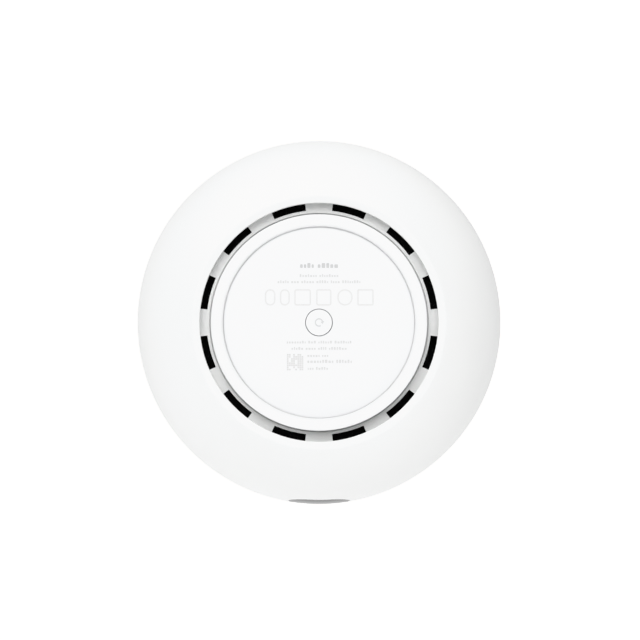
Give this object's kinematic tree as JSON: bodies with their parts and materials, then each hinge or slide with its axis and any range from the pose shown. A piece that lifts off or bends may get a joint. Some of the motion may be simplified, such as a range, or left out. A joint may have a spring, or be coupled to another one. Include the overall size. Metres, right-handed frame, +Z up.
{
  "type": "desktop network gateway",
  "caption": "White capsule-shaped desktop network gateway on a round foot, with underside air slots, a recessed reset button, a front status display and rear sockets.",
  "frame": {"origin": "centre of the foot ring's contact face, on the body's axis", "axes": "+Z up along the capsule's axis, towards the dome; the display window looks along -Y and the socket panel along +Y"},
  "size_m": [0.11, 0.11, 0.184],
  "materials": {
    "casing": "fine satin texture, white",
    "chassis_plastic": "satin, very light grey",
    "foot_elastomer": "soft white elastomer",
    "label": "smooth satin white",
    "button": "smooth satin white",
    "black_plastic": "moulded black",
    "steel": "nickel-plated sheet",
    "screw_steel": "zinc-plated",
    "circuit_board": "solder mask over glass laminate",
    "diffuser": "frosted translucent",
    "display_gloss": "gloss black",
    "black_foam": "closed-cell foam",
    "flex": "polyimide",
    "dark_mesh": "woven filter mesh, black",
    "gold": "gold plated",
    "brass_pins": "nickel-plated brass",
    "magnet": "sintered ferrite and laminations",
    "wire": "insulated lead",
    "frame_plastic": "moulded dark grey",
    "winding": "taped copper winding",
    "capacitor": "sleeved can",
    "chip": "moulded package",
    "pad": "soft thermal pad",
    "sink_aluminium": "extruded",
    "connector_plastic": "moulded nylon",
    "led": "clear over phosphor"
  },
  "bodies": {
    "housing": {"body_shell": "casing", "top_cap": "casing", "io_panel": "casing", "foot_base": "casing", "base_chassis": "chassis_plastic", "foot_ring": "foot_elastomer", "label_plate": "label", "reset_switch": "steel", "reset_board": "circuit_board", "light_ring": "diffuser", "display_window": "display_gloss", "display_module": "display_gloss", "display_gasket": "black_foam", "display_bracket": "black_plastic", "display_flex": "flex", "intake_filter": "dark_mesh", "lan_jack_shields": "steel", "lan_jack_inserts": "black_plastic", "lan_jack_contacts": "gold", "port_light_pipes": "diffuser", "sfp_cage": "steel", "sfp_connector": "black_plastic", "card_socket": "steel", "power_inlet": "black_plastic", "power_inlet_pins": "brass_pins", "base_screws": "screw_steel", "fan_screws": "screw_steel", "frame_screws": "screw_steel", "board_screws": "screw_steel", "heat_sink_screws": "screw_steel", "fan_frame": "black_plastic", "fan_bearing": "brass_pins", "fan_stator": "magnet", "fan_lead": "wire", "dc_lead": "wire", "antenna_leads": "wire", "inner_frame": "frame_plastic", "antenna_carrier": "frame_plastic", "power_board": "circuit_board", "main_board": "circuit_board", "radio_board": "circuit_board", "ring_led_board": "circuit_board", "transformer_core": "magnet", "transformer_winding": "winding", "bulk_capacitors": "capacitor", "mains_choke": "winding", "soc_package": "chip", "memory_chips": "chip", "thermal_pad": "pad", "heat_sink": "sink_aluminium", "board_headers": "connector_plastic", "radio_shields": "steel", "antennas": "gold", "ring_leds": "led"},
    "reset_button": {"reset_button": "button", "switch_plunger": "black_plastic"},
    "fan_rotor": {"fan_rotor": "black_plastic", "fan_shaft": "screw_steel", "fan_magnet": "magnet"},
    "memory_card": {"memory_card": "black_plastic"}
  },
  "joints": [
    {"name": "reset_press", "type": "slide", "parent": "housing", "child": "reset_button", "axis": [0, 0, 1], "range_m": [0, 0.0006], "stiffness_N_per_m": 2000},
    {"name": "fan_spin", "type": "hinge", "parent": "housing", "child": "fan_rotor", "pos_m": [0, 0, 0.028], "axis": [0, 0, 1], "continuous": true},
    {"name": "card_eject", "type": "slide", "parent": "housing", "child": "memory_card", "axis": [0, 1, 0], "range_m": [0, 0.012]}
  ]
}
